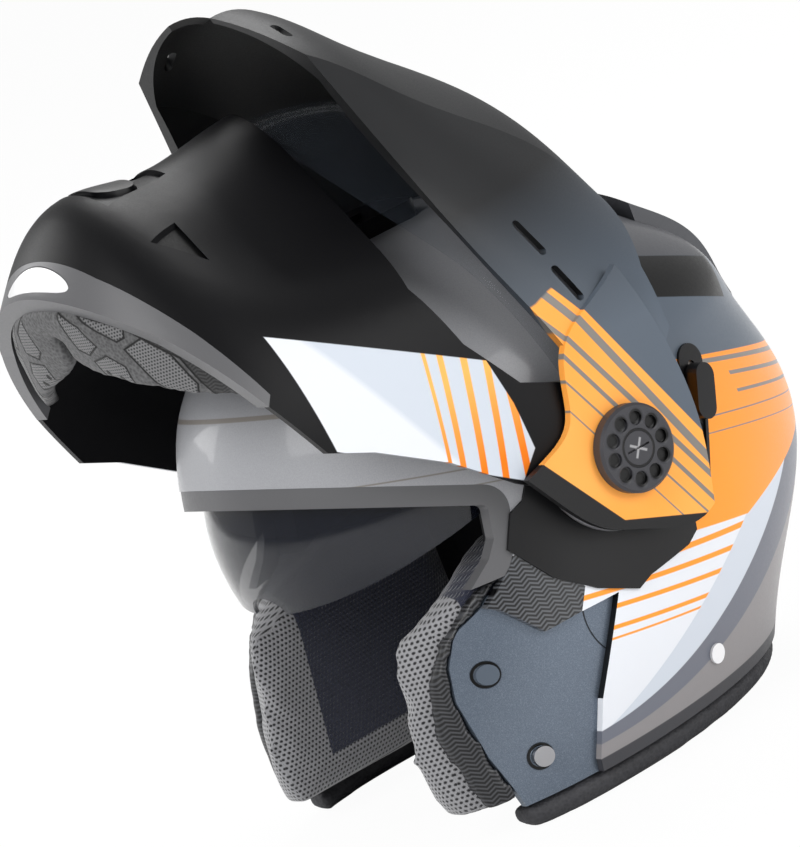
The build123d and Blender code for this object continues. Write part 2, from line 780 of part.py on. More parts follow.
# The room between the arms that the visor's sides turn in
with BuildPart() as side_room:
    with BuildSketch(Plane(origin=(0, 0, pivot_height), x_dir=(1, 0, 0), z_dir=(0, 0, -1))):
        with BuildLine():
            Polyline(*room_rim, *[(-x, r) for x, r in room_rim[::-1]], close=True)
        make_face()
    revolve(axis=pivot_axis)
with BuildPart() as chin_bar:
    add(chin_outer)
    add(chin_inner, mode=Mode.SUBTRACT)
    add(chin_side.part, mode=Mode.INTERSECT)
    add(button_recess.part, mode=Mode.SUBTRACT)
    add(button_cut.part, mode=Mode.SUBTRACT)
    add(grille_cut, mode=Mode.SUBTRACT)
    add(side_room.part, mode=Mode.SUBTRACT)
    add(cross_cylinder((0, 0), axle_radius + axle_gap, -wide, wide), mode=Mode.SUBTRACT)
keep("chin_bar", raised(chin_bar.part))

# Grilles in the chin bar's side slots
with BuildPart() as side_vent_grilles:
    add(chin_form(0.5 * chin_wall))
    add(chin_inner, mode=Mode.SUBTRACT)
    add(grille_cut, mode=Mode.INTERSECT)
keep("side_vent_grilles", raised(side_vent_grilles.part))


def release_block(spare):
    """The leaf-shaped outline of the release lever, carried through the nose."""
    with BuildPart() as block:
        with BuildSketch(Plane.XZ.offset(chin_nose - overrun)):
            with Locations((0, pivot_height - release_drop)):
                Ellipse(0.5 * release_width + spare, 0.5 * release_height + spare)
        extrude(amount=2 * overrun)
    return block.part


# Satin lip along the chin bar's foot, with the opening of the release lever
with BuildPart() as chin_lip:
    add(chin_outer)
    add(chin_form(lip_depth), mode=Mode.SUBTRACT)
    add(lip_side, mode=Mode.INTERSECT)
    add(release_block(button_gap), mode=Mode.SUBTRACT)
keep("chin_lip", raised(chin_lip.part))

# Release lever, level with the lip's face
with BuildPart() as release_lever:
    add(chin_form(lap_gap))
    add(chin_form(release_depth), mode=Mode.SUBTRACT)
    add(release_block(0), mode=Mode.INTERSECT)
keep("release_lever", raised(release_lever.part))


# Breath guard: a soft floor behind the lip, bowed up at its sides, with a notch for the chin
def guard_limit(rise):
    """Everything above the guard's lower limits, both moved up by a rise."""
    run = [(y, z + rise) for y, z in guard_run]
    bow = [(x, pivot_height + z + rise) for x, z in guard_bow]
    across = bow + [(-x, z) for x, z in reversed(bow[:-1])]
    with BuildPart() as limit:
        add(side_prism([*run, (run[-1][0], 0), (run[0][0], 0)]))
        with BuildSketch(Plane.XZ):
            with BuildLine():
                Polyline(*across, (across[-1][0], pivot_height), (across[0][0], pivot_height), close=True)
            make_face()
        extrude(amount=2 * chin_nose, mode=Mode.INTERSECT)
    return limit.part


with BuildPart() as breath_guard:
    add(chin_form(lip_depth + fit_gap))
    add(guard_limit(0), mode=Mode.INTERSECT)
    add(guard_limit(guard_thickness), mode=Mode.SUBTRACT)
    with BuildSketch(Plane.XY):
        right = [(x * guard_half_width, -y * chin_nose) for x, y in guard_plan_shares]
        tail = (right[-1][0], -2 * chin_nose)
        with BuildLine():
            Polyline(
                *[(-x, y) for x, y in reversed(right[1:])], *right, tail, (-tail[0], tail[1]), close=True
            )
        make_face()
        with Locations(right[0]):
            SlotOverall(2 * guard_notch_depth, guard_notch_width, rotation=90, mode=Mode.SUBTRACT)
    extrude(amount=2 * chin_foot, both=True, mode=Mode.INTERSECT)
keep("breath_guard", raised(breath_guard.part))

# Foam behind the chin bar's wall
with BuildPart() as chin_bar_foam:
    add(chin_form(chin_wall + fit_gap))
    add(level_block(-chin_foam_foot, -chin_foam_top), mode=Mode.INTERSECT)
    with BuildSketch(Plane.XY):
        with Locations((0, -foam_rear)):
            Rectangle(2 * foam_half_width, 2 * chin_nose, align=(Align.CENTER, Align.MAX))
    extrude(amount=pivot_height, mode=Mode.INTERSECT)
    add(sweep.part, mode=Mode.SUBTRACT)
    add(button_cut.part, mode=Mode.SUBTRACT)
keep("chin_bar_foam", raised(chin_bar_foam.part))

# Vent button in the nose of the chin bar
with BuildPart() as chin_vent_button:
    add(chin_form(0))
    add(chin_form(chin_wall), mode=Mode.SUBTRACT)
    with BuildSketch(Plane.XZ.offset(0.5 * chin_nose)):
        with Locations((0, pivot_height - chin_button_drop)):
            RectangleRounded(chin_button_width, chin_button_height, 0.4 * chin_button_height)
    extrude(amount=chin_nose, mode=Mode.INTERSECT)
keep("chin_vent_button", raised(chin_vent_button.part))

# Peak: a roof whose sides come down to the arms on the axles
with BuildPart() as peak_skin:
    add(fan_body(peak_angles, peak_shares, peak_stations, peak_radius, peak_half_width, 0, 0, peak_crease))
    add(
        fan_body(
            peak_angles, peak_shares, peak_stations, peak_radius, peak_half_width, peak_wall, fan_spread,
            peak_crease,
        ),
        mode=Mode.SUBTRACT,
    )

with BuildPart() as peak:
    add(raised(peak_skin.part, peak_rise))
    with BuildSketch(side_plane):
        with BuildLine():
            Polyline(*peak_rear_edge, (-peak_radius, -peak_radius), (-peak_radius, peak_radius), close=True)
        make_face()
    extrude(amount=wide, both=True, mode=Mode.INTERSECT)
    for sign in (1, -1):
        with BuildSketch(side_plane.offset(sign * peak_arm_inner)):
            with BuildLine():
                for stretch in (arm_front, arm_foot, arm_back):
                    Spline(*stretch)
            make_face()
        extrude(amount=sign * (peak_half_width - peak_arm_inner))
        with BuildSketch(side_plane.offset(sign * peak_slot_inner)):
            for y, z, lean in peak_slots:
                with Locations((y, z)):
                    SlotOverall(peak_slot_length, peak_slot_width, rotation=lean)
        extrude(amount=sign * (wide - peak_slot_inner), mode=Mode.SUBTRACT)
        with BuildSketch(Plane.XY.offset(pivot_height + crown_height + overrun)):
            with Locations((sign * roof_slot[0], roof_slot[1])):
                SlotOverall(roof_slot_length, peak_slot_width)
        extrude(amount=peak_radius, mode=Mode.SUBTRACT)
    add(front_prism(0, peak_tip), mode=Mode.SUBTRACT)
    add(cross_cylinder((0, 0), axle_radius + axle_gap, -wide, wide), mode=Mode.SUBTRACT)
keep("peak", peak.part)

# Knobs on the axles' ends
for side, sign in (("left", 1), ("right", -1)):
    outward = side_plane if sign > 0 else Plane(side_plane.origin, x_dir=(0, -1, 0), z_dir=(-1, 0, 0))
    with BuildPart() as knob:
        with BuildSketch(outward.offset(peak_half_width + fit_gap)):
            Circle(knob_radius)
        extrude(amount=knob_height)
        chamfer(faces().filter_by(Axis.X).sort_by(Axis.X)[-1 if sign > 0 else 0].edges(), 0.2 * knob_height)
        with BuildSketch(outward.offset(peak_half_width + fit_gap + knob_height - dimple_depth)):
            with PolarLocations(0.66 * knob_radius, knob_dimples):
                Circle(dimple_radius)
            with PolarLocations(0, 2):
                Rectangle(0.62 * knob_radius, 0.3 * dimple_radius)
        extrude(amount=2 * dimple_depth, mode=Mode.SUBTRACT)
        with BuildSketch(outward.offset(peak_half_width)):
            Circle(axle_radius + axle_gap)
        extrude(amount=0.7 * knob_height, mode=Mode.SUBTRACT)
    keep(f"peak_knob_{side}", knob.part)

# Visor with its ears on the axles
with BuildPart() as visor:
    add(fan_body(visor_angles, visor_shares, visor_stations, visor_radius, visor_half_width, 0))
    add(
        fan_body(
            visor_angles, visor_shares, visor_stations, visor_radius, visor_half_width, visor_wall, fan_spread
        ),
        mode=Mode.SUBTRACT,
    )
    for sign in (1, -1):
        with BuildSketch(side_plane.offset(sign * (visor_half_width - visor_wall))):
            Circle(ear_radius)
        extrude(amount=sign * visor_wall)
    add(cross_cylinder((0, 0), axle_radius + axle_gap, -wide, wide), mode=Mode.SUBTRACT)
keep("visor", raised(visor.part))

# Sun visor with its ears and the pins that carry it
with BuildPart() as sun_visor:
    add(sun_band(0, 0, sun_foot, sun_top, sun_ear_radius))
    for sign in (1, -1):
        ends = sorted((sign * (sun_half_width - 2 * sun_wall), sign * (sun_half_width - sun_wall)))
        add(cross_cylinder(sun_place, sun_boss_radius, *ends))
    add(cross_cylinder(sun_place, sun_pin_radius + sun_pin_gap, -wide, wide), mode=Mode.SUBTRACT)
    with BuildSketch(Plane.XZ.offset(sun_axis_front)):
        with Locations((0, pivot_height + sun_axis_rise + sun_radius * sin(radians(sun_foot)))):
            Ellipse(0.5 * sun_nose_width, sun_nose_height)
    extrude(amount=sun_radius + overrun, mode=Mode.SUBTRACT)
keep("sun_visor", sun_visor.part)

with BuildPart() as sun_visor_pins:
    for sign in (1, -1):
        with BuildSketch(side_plane.offset(sign * (sun_half_width - 2 * sun_wall - lap_gap))):
            with Locations(sun_place):
                Circle(sun_pin_radius)
        extrude(amount=sign * sun_boss_length)
keep("sun_visor_pins", sun_visor_pins.part)

# Track and lever of the sun visor, on the left side
track_lean = degrees(atan2(track_top[1] - track_foot[1], track_top[0] - track_foot[0]))
track_run = hypot(track_top[0] - track_foot[0], track_top[1] - track_foot[1])
track_middle = (0.5 * (track_top[0] + track_foot[0]), 0.5 * (track_top[1] + track_foot[1]))
slide_y, slide_z = ((b - a) / track_run for a, b in zip(track_top, track_foot))
lever_place = tuple(a + 0.55 * lever_length * b for a, b in zip(track_top, (slide_y, slide_z)))
with BuildPart() as cover_room:
    with BuildSketch(side_plane):
        with BuildLine():
            Polyline(*cover_outline, close=True)
        make_face()
        offset(amount=fit_gap)
    extrude(amount=wide)

# The room under the lever, which the straight slide needs over the shell's curve
with BuildPart() as lever_block:
    with BuildSketch(side_plane):
        with Locations(lever_place):
            SlotOverall(lever_length + 2 * fit_gap, lever_width + 2 * fit_gap, rotation=track_lean)
    extrude(amount=wide)
    add(dome(-track_rise - lever_gap + fit_gap), mode=Mode.SUBTRACT)

with BuildPart() as sun_visor_track:
    with BuildSketch(side_plane):
        with Locations(track_middle):
            SlotOverall(track_run + track_width, track_width, rotation=track_lean)
            SlotOverall(track_run, 0.3 * track_width, rotation=track_lean, mode=Mode.SUBTRACT)
    extrude(amount=wide)
    add(dome(-track_rise), mode=Mode.INTERSECT)
    add(outer_form, mode=Mode.SUBTRACT)
    add(cover_room.part, mode=Mode.SUBTRACT)
    for step in range(lever_steps + 1):
        travel = lever_travel * step / lever_steps
        moved = Pos(lever_lean * travel, slide_y * travel, slide_z * travel) * lever_block.part
        add(moved, mode=Mode.SUBTRACT)
keep("sun_visor_track", sun_visor_track.part)

with BuildPart() as sun_visor_lever:
    with BuildSketch(side_plane):
        with Locations(lever_place):
            SlotOverall(lever_length, lever_width, rotation=track_lean)
    extrude(amount=wide)
    add(dome(-track_rise - lever_gap - lever_height), mode=Mode.INTERSECT)
    add(dome(-track_rise - lever_gap), mode=Mode.SUBTRACT)
keep("sun_visor_lever", sun_visor_lever.part)
print("sun visor lever slides along", lever_lean, slide_y, slide_z)

# Top vent with its slider, and the outlet at the rear
with BuildPart() as top_vent:
    with BuildSketch(Plane.XY.offset(pivot_height + 0.8 * crown_height)):
        with Locations((0, 0.5 * vent_length - vent_front)):
            RectangleRounded(vent_width, vent_length, 0.2 * vent_width)
    extrude(amount=0.2 * crown_height + vent_height)
    add(outer_form, mode=Mode.SUBTRACT)
keep("top_vent", top_vent.part)

with BuildPart() as top_vent_slider:
    with BuildSketch(Plane.XY.offset(pivot_height + crown_height + vent_height + lap_gap)):
        with Locations((0, 0.35 * vent_length - vent_front)):
            RectangleRounded(slider_width, slider_length, 0.3 * slider_length)
    extrude(amount=slider_height)
keep("top_vent_slider", top_vent_slider.part)

with BuildPart() as rear_vent:
    with BuildSketch(Plane.XY.offset(pivot_height)):
        with Locations((0, spoiler_front + 0.5 * spoiler_length)):
            Trapezoid(spoiler_width, spoiler_length, 70)
    extrude(amount=crown_height)
    add(dome(-spoiler_height), mode=Mode.INTERSECT)
    add(outer_form, mode=Mode.SUBTRACT)
keep("rear_vent", rear_vent.part)
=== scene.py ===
import json

import bpy
import numpy as np
from mathutils import Matrix, Vector

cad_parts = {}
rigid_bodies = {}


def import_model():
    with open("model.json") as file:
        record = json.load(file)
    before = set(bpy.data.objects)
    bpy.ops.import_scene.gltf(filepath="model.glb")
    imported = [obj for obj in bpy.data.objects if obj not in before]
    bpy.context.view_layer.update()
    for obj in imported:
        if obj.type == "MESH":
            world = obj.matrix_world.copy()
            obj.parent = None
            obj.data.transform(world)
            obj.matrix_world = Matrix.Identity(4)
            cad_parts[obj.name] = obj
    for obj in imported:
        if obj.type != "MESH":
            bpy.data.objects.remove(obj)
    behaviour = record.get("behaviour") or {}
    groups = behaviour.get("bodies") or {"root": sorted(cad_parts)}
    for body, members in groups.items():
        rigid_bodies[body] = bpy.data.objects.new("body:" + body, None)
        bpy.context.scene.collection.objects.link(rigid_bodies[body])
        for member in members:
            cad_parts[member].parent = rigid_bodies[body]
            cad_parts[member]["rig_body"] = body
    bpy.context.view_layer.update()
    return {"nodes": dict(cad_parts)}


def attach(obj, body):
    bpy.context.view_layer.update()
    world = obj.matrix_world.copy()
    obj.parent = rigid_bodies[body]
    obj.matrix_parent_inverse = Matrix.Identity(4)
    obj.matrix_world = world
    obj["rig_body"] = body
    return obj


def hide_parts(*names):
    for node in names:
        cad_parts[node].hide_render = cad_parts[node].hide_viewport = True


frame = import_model()
nodes = frame["nodes"]
mm = 0.001
pivotHeight = 139.0  # of the shared axis above the floor, in mm
print("frame loaded:", len(nodes), "nodes")


# Materials: each is a shader with named values, and masks in mm from the shared axis

edge = 0.2  # half width in mm of a border between two colours
softEdge = 4.0  # half width of the border between two sides of a wall
gloss = {"specular": 0.35, "coatRoughness": 0.08}
weaveSlope = 0.9  # of a band's height, that it climbs across a column
steadyNoise = (0.25, 0.75)  # the span that most of a noise's values lie in


def tone(red, green, blue):
    return tuple((channel / 255) ** 2.2 for channel in (red, green, blue))


class Paint:
    def __init__(self, name, colour, roughness, metallic=0.0, coat=0.0, alpha=1.0):
        self.material = bpy.data.materials.new(name)
        self.material.use_nodes = True
        self.tree = self.material.node_tree
        self.shader = self.tree.nodes["Principled BSDF"]
        self.shader.inputs["Base Color"].default_value = (*colour, 1)
        self.shader.inputs["Roughness"].default_value = roughness
        self.shader.inputs["Metallic"].default_value = metallic
        self.shader.inputs["Specular IOR Level"].default_value = gloss["specular"]
        self.shader.inputs["Coat Weight"].default_value = coat
        self.shader.inputs["Coat Roughness"].default_value = gloss["coatRoughness"]
        self.shader.inputs["Alpha"].default_value = alpha
        source = self.tree.nodes.new("ShaderNodeTexCoord")
        self.facing = source.outputs["Normal"]
        inMm = self.tree.nodes.new("ShaderNodeVectorMath")
        inMm.operation = "MULTIPLY_ADD"
        self.feed(inMm, (source.outputs["Object"], (1 / mm,) * 3, (0, 0, -pivotHeight)))
        self.place = inMm.outputs[0]
        self.x, self.y, self.z = self.parts(self.place)
        self.side = self.math("ABSOLUTE", self.x)
        self.lastBump = None

    def feed(self, node, values):
        for socket, value in zip(node.inputs, values):
            if isinstance(value, bpy.types.NodeSocket):
                self.tree.links.new(value, socket)
            else:
                socket.default_value = value

    def parts(self, vector):
        split = self.tree.nodes.new("ShaderNodeSeparateXYZ")
        self.feed(split, (vector,))
        return split.outputs

    def math(self, operation, *values):
        node = self.tree.nodes.new("ShaderNodeMath")
        node.operation = operation
        self.feed(node, values)
        return node.outputs[0]

    def chain(self, operation, values):
        total = values[0]
        for value in values[1:]:
            total = self.math(operation, total, value)
        return total

    def within(self, *distances):
        return self.chain("MINIMUM", distances)

    def beyond(self, distance):
        # the same border, positive on its other side
        return self.math("MULTIPLY", distance, -1.0)

    def band(self, distance, width):
        # distance inside a band that has the border in its middle
        return self.math("SUBTRACT", width / 2, self.math("ABSOLUTE", distance))

    def ramp(self, value, low, high, start=0.0, end=1.0):
        node = self.tree.nodes.new("ShaderNodeMapRange")
        self.feed(node, (value, low, high, start, end))
        return node.outputs[0]

    def line(self, start, end, first=None, second=None):
        # signed distance from a line, positive on its left: the place less the start, times the
        # line's unit normal, in the side view or in two other coordinates
        along, up = end[0] - start[0], end[1] - start[1]
        length = np.hypot(along, up)
        across = (-up / length, along / length)
        origin = -(start[0] * across[0] + start[1] * across[1])
        run = self.math("MULTIPLY_ADD", first or self.y, across[0], origin)
        return self.math("MULTIPLY_ADD", second or self.z, across[1], run)

    def stripe(self, start, end, width):
        return self.band(self.line(start, end), width)

    def disc(self, centre, radius):
        return self.spot(self.y, self.z, centre, radius)

    def spot(self, first, second, centre, radius):
        # distance inside a circle: its radius less the root of the sum of the two squares
        run = self.math("SUBTRACT", first, centre[0])
        rise = self.math("SUBTRACT", second, centre[1])
        square = self.math("MULTIPLY_ADD", run, run, self.math("MULTIPLY", rise, rise))
        return self.math("SUBTRACT", radius, self.math("SQRT", square))

    def arc(self, first, second, third):
        # distance inside the circle through three points of the side view, whose centre c and
        # radius r solve 2 c.p + (r squared - c squared) = p squared at each point p
        points = np.array((first, second, third))
        system = np.c_[2 * points, np.ones(3)]
        centreY, centreZ, rest = np.linalg.solve(system, (points**2).sum(axis=1))
        return self.disc((centreY, centreZ), np.sqrt(rest + centreY**2 + centreZ**2))

    def cover(self, distance, half=edge):
        return self.ramp(distance, -half, half)

    def outside(self):
        # 1 on faces that look away from the shared axis' middle, 0 on those that look to it
        away = self.tree.nodes.new("ShaderNodeVectorMath")
        away.operation = "DOT_PRODUCT"
        self.feed(away, (self.facing, self.place))
        return self.cover(away.outputs["Value"], softEdge)

    def mix(self, share, first, second):
        node = self.tree.nodes.new("ShaderNodeMix")
        node.data_type = "RGBA"
        for socket, value in ((node.inputs[0], share), (node.inputs[6], first), (node.inputs[7], second)):
            if isinstance(value, bpy.types.NodeSocket):
                self.tree.links.new(value, socket)
            else:
                socket.default_value = value if isinstance(value, float) else (*value, 1)
        return node.outputs[2]

    def noise(self, size, detail=3.0):
        node = self.tree.nodes.new("ShaderNodeTexNoise")
        self.tree.links.new(self.place, node.inputs["Vector"])
        node.inputs["Scale"].default_value = 1 / size
        node.inputs["Detail"].default_value = detail
        return node.outputs["Fac"]

    def cells(self, size):
        node = self.tree.nodes.new("ShaderNodeTexVoronoi")
        self.tree.links.new(self.place, node.inputs["Vector"])
        node.inputs["Scale"].default_value = 1 / size
        return node.outputs["Distance"]

    def bump(self, height, depth):
        node = self.tree.nodes.new("ShaderNodeBump")
        node.inputs["Distance"].default_value = depth * mm
        self.tree.links.new(height, node.inputs["Height"])
        if self.lastBump:
            self.tree.links.new(self.lastBump, node.inputs["Normal"])
        self.lastBump = node.outputs[0]
        self.tree.links.new(self.lastBump, self.shader.inputs["Normal"])

    def give(self, socket, value):
        self.tree.links.new(value, self.shader.inputs[socket])

    def grain(self, size, spread, depth=0.0):
        # a little unevenness of the gloss, and of the face where a depth is given
        speckle = self.noise(size)
        middle = self.shader.inputs["Roughness"].default_value
        self.give("Roughness", self.ramp(speckle, *steadyNoise, middle - spread, middle + spread))
        if depth:
            self.bump(speckle, depth)

    def odd(self, value):
        # 0.5 between an odd whole number and the next, 0 after an even one
        return self.math("FRACT", self.math("MULTIPLY", self.math("FLOOR", value), 0.5))

    def weave(self, width, height):
        # chevrons: a triangle wave up the height, pushed up by the place across a column, and
        # from the other side in every second column
        column = self.math("DIVIDE", self.y, width)
        share = self.math("FRACT", column)
        flip = self.math("MULTIPLY", self.odd(column), 2.0)
        turned = self.math("ABSOLUTE", self.math("SUBTRACT", share, flip))
        level = self.math("MULTIPLY_ADD", turned, weaveSlope, self.math("DIVIDE", self.z, height))
        return self.math("PINGPONG", level, 0.5)

    def holes(self, first, second, pitch, radius):
        # distance inside the round holes of a staggered grid in two coordinates
        row = self.math("DIVIDE", second, pitch)
        column = self.math("ADD", self.math("DIVIDE", first, pitch), self.odd(row))
        left = self.math("SUBTRACT", self.math("FRACT", column), 0.5)
        up = self.math("SUBTRACT", self.math("FRACT", row), 0.5)
        square = self.math("MULTIPLY_ADD", left, left, self.math("MULTIPLY", up, up))
        depth = self.math("SUBTRACT", radius / pitch, self.math("SQRT", square))
        return self.math("MULTIPLY", depth, pitch)


def dress(material, *names):
    for name in names:
        slots = nodes[name].data.materials
        slots.clear()
        slots.append(material)


def pair(name):
    return f"{name}_left", f"{name}_right"


tones = {
    "black": tone(17, 17, 19),
    "deepBlack": tone(9, 9, 10),
    "peakTop": tone(26, 27, 29),
    "topGrey": tone(74, 75, 79),
    "blueGrey": tone(84, 93, 104),
    "silver": tone(150, 151, 154),
    "orange": tone(250, 150, 36),
    "paleOrange": tone(255, 178, 92),
    "stripeGrey": tone(126, 121, 116),
    "white": tone(222, 225, 231),
    # pale blue-grey: the pale swoosh on the shell, and painted facet shade on the chin bar's white field
    "paleSwooshAndFacetShade": tone(198, 205, 215),
    "darkPatch": tone(104, 107, 117),
    "rearGrey": tone(134, 131, 132),
    "rim": tone(58, 58, 62),
}


# Outer shell: silver brow, dark crown, orange and white fields with stripes, two swooshes

shellLook = {
    # the ends of each border, with a middle point where it is an arc
    "lines": {
        "crown": ((58.9, 67.1), (117.7, 43.9)),
        "bandFoot": ((55.4, 48.3), (108.4, 27.2)),
        "bandEnd": ((117.7, 43.9), (108.4, 27.2)),
        "orangeTop": ((81.0, 11.2), (127.2, -2.4)),
        "orangeFoot": ((30.9, -52.3), (61.4, -58.9)),
        "orangeRear": ((61.1, -59.8), (112.7, -48.2)),
        "whiteRear": ((61.1, -59.6), (23.8, -81.2), (-33.2, -105.5)),
        "paleRear": ((101.5, -51.5), (59.0, -80.4), (-16.0, -106.5)),
        "darkRear": ((112.7, -70.0), (49.1, -99.6), (-13.5, -113.5)),
        "browEnd": ((24.0, -20.0), (30.0, 60.0)),
    },
    # start, end and width of each
    "greyStripes": (
        ((79.2, 8.6), (125.0, -5.3), 2.1),
        ((80.7, 1.0), (126.0, -12.6), 1.8),
        ((77.9, -6.9), (129.8, -21.0), 1.5),
        ((61.3, -11.3), (122.2, -26.2), 0.7),
        ((57.9, -17.8), (117.5, -32.2), 0.6),
    ),
    "orangeStripes": (
        ((16.1, -55.1), (57.2, -61.9), 2.6),
        ((-4.0, -59.4), (46.8, -68.4), 2.3),
        ((-19.0, -64.3), (35.3, -74.5), 2.1),
        ((-26.9, -71.8), (23.0, -80.8), 1.9),
        ((-31.3, -75.7), (17.7, -84.0), 1.0),
    ),
    "shortStripes": (1, 2),  # of the grey ones: they begin further back
    "shortStart": ((81.5, 20.0), (84.0, -30.0)),
    "rimHeight": -121.5,
    "warmRun": (55.0, 125.0),  # behind the axis, where the orange turns to its warmer tone
}


def makeShellPaint():
    paint = Paint("shellPaint", tones["silver"], 0.42, coat=0.25)
    line = {key: paint.line(*ends) for key, ends in shellLook["lines"].items() if len(ends) == 2}
    curve = {key: paint.arc(*ends) for key, ends in shellLook["lines"].items() if len(ends) == 3}
    flake = paint.noise(0.5)
    colour = paint.mix(flake, tone(140, 141, 145), tone(166, 167, 171))
    rear = paint.beyond(line["browEnd"])
    colour = paint.mix(paint.cover(rear), colour, tones["blueGrey"])
    crown = paint.within(line["crown"], rear)
    colour = paint.mix(paint.cover(crown), colour, tones["topGrey"])
    band = paint.within(paint.beyond(line["crown"]), line["bandFoot"], paint.beyond(line["bandEnd"]), rear)
    colour = paint.mix(paint.cover(band), colour, tones["deepBlack"])
    below = paint.beyond(line["orangeTop"])
    orange = paint.mix(paint.ramp(paint.y, *shellLook["warmRun"]), tones["orange"], tone(252, 146, 62))
    colour = paint.mix(paint.cover(paint.within(below, rear)), colour, orange)
    late = paint.line(*shellLook["shortStart"])
    for number, (start, end, width) in enumerate(shellLook["greyStripes"]):
        stripe = paint.stripe(start, end, width)
        if number in shellLook["shortStripes"]:
            stripe = paint.within(stripe, late)
        colour = paint.mix(paint.cover(paint.within(stripe, below)), colour, tones["stripeGrey"])
    white = paint.cover(paint.beyond(line["orangeFoot"]))
    field = tones["white"]
    for start, end, width in shellLook["orangeStripes"]:
        field = paint.mix(paint.cover(paint.stripe(start, end, width)), field, tones["orange"])
    behindOrange = paint.cover(paint.beyond(line["orangeRear"]))
    foot = paint.mix(paint.cover(curve["whiteRear"]), tones["paleSwooshAndFacetShade"], field)
    foot = paint.mix(paint.cover(curve["paleRear"]), tones["darkPatch"], foot)
    foot = paint.mix(paint.cover(curve["darkRear"]), tones["rearGrey"], foot)
    colour = paint.mix(paint.math("MAXIMUM", white, behindOrange), colour, foot)
    rim = paint.cover(paint.math("SUBTRACT", shellLook["rimHeight"], paint.z))
    colour = paint.mix(rim, colour, tones["rim"])
    paint.give("Base Color", paint.mix(paint.outside(), tones["deepBlack"], colour))
    paint.grain(1.2, 0.05)
    return paint.material


dress(makeShellPaint(), "outer_shell")


# Peak: matte grey outside, black inside, and arms that turn orange under grey stripes

peakLook = {
    "armEdge": ((0.0, 70.0), (35.0, -2.0)),
    "rims": (((-53.0, 20.0), (-17.0, -29.0)), ((-17.0, -29.0), (21.0, -43.0))),
    "rimWidth": 2.5,
    # start, end and width of each
    "stripes": (
        ((-2.0, 62.5), (31.0, -9.0), 3.7),
        ((-13.0, 61.0), (33.0, -25.0), 2.5),
        ((-15.0, 49.5), (29.0, -33.0), 2.0),
        ((-18.0, 38.0), (24.0, -38.0), 1.0),
        ((-22.0, 27.0), (17.0, -44.0), 0.7),
    ),
    "armInner": 119.0,  # from the middle, where the painted arms begin
    "darkRise": (50.0, 120.0),  # above the axis, where the blue-grey turns dark
    "cloudSize": 45.0,  # of the patches of paler orange
}


def makePeakPaint():
    paint = Paint("peakPaint", tones["black"], 0.5)
    body = paint.mix(paint.ramp(paint.z, *peakLook["darkRise"]), tones["blueGrey"], tones["peakTop"])
    orange = paint.mix(paint.noise(peakLook["cloudSize"], 1.0), tones["orange"], tones["paleOrange"])
    orangeMask = paint.beyond(paint.line(*peakLook["armEdge"]))
    arm = paint.mix(paint.cover(orangeMask), body, orange)
    for start, end, width in peakLook["stripes"]:
        stripe = paint.within(paint.stripe(start, end, width), orangeMask)
        arm = paint.mix(paint.cover(stripe), arm, tones["stripeGrey"])
    for start, end in peakLook["rims"]:
        rim = paint.math("SUBTRACT", peakLook["rimWidth"], paint.line(start, end))
        arm = paint.mix(paint.cover(rim), arm, tones["black"])
    onArm = paint.cover(paint.math("SUBTRACT", paint.side, peakLook["armInner"]))
    colour = paint.mix(onArm, body, arm)
    paint.give("Base Color", paint.mix(paint.outside(), tones["deepBlack"], colour))
    paint.grain(0.8, 0.06, 0.01)
    return paint.material


dress(makePeakPaint(), "peak")


# Chin bar: matte black, with a white field and orange stripes near the pivots, and painted shade on two
# facets of the field

chinLook = {
    # corners of the white field
    "field": (
        (-129.4, 109.7), (-127.0, 78.0), (-125.4, 54.9), (-51.0, 8.0),
        (-40.8, 18.5), (-41.8, 40.0), (-45.6, 61.4),
    ),
    # start, end and width of each
    "stripes": (
        ((-70.6, 75.4), (-79.4, 32.2), 1.8),
        ((-64.1, 71.8), (-74.2, 28.3), 2.8),
        ((-54.7, 66.5), (-66.0, 21.5), 3.2),
        ((-45.6, 61.4), (-58.0, 13.8), 3.2),
        ((-41.8, 42.1), (-46.9, 15.3), 3.4),
    ),
    # lines beyond which the white field is painted pale blue-grey, as painted shade on those facets
    "shadedFacets": (((-115.2, 101.4), (-86.0, 46.0)), ((-73.0, 64.0), (-66.2, 36.7))),
    "shadedFacetEdge": 1.5,
    "side": 90.0,  # from the middle, where the field begins
    "gloss": 0.16,
    "fadeRise": (20.0, 60.0),  # above the axis, where the stripes fade
    "wallEdge": 8.0,  # half width of the border between the wall's two sides
}


def makeChinPaint():
    paint = Paint("chinPaint", tones["black"], 0.44)
    outward = paint.math("MULTIPLY", paint.parts(paint.facing)[0], paint.x)
    field = chinLook["field"]
    sides = [paint.line(*ends) for ends in zip(field, field[1:] + field[:1])]
    side = paint.math("SUBTRACT", paint.side, chinLook["side"])
    colour = tones["white"]
    # painted shade: beyond each facet line the white turns pale blue-grey
    for start, end in chinLook["shadedFacets"]:
        facetShade = paint.cover(paint.line(start, end), chinLook["shadedFacetEdge"])
        colour = paint.mix(facetShade, colour, tones["paleSwooshAndFacetShade"])
    orange = paint.mix(paint.ramp(paint.z, *chinLook["fadeRise"]), tone(236, 120, 20), tones["paleOrange"])
    for start, end, width in chinLook["stripes"]:
        colour = paint.mix(paint.cover(paint.stripe(start, end, width)), colour, orange)
    onField = paint.cover(paint.within(side, *sides))
    mask = paint.math("MULTIPLY", onField, paint.cover(outward, chinLook["wallEdge"]))
    paint.give("Base Color", paint.mix(mask, tones["black"], colour))
    paint.shader.inputs["Specular IOR Level"].default_value = chinLook["gloss"]
    paint.grain(0.7, 0.05, 0.008)
    return paint.material


dress(makeChinPaint(), "chin_bar")


# Parts in one colour, with a little unevenness of gloss and face

unevenShare = 0.12  # of the roughness


def plain(name, colour, roughness, metallic=0.0, coat=0.0, alpha=1.0, size=1.0, depth=0.006):
    paint = Paint(name, colour, roughness, metallic, coat, alpha)
    paint.grain(size, unevenShare * roughness, depth)
    return paint.material


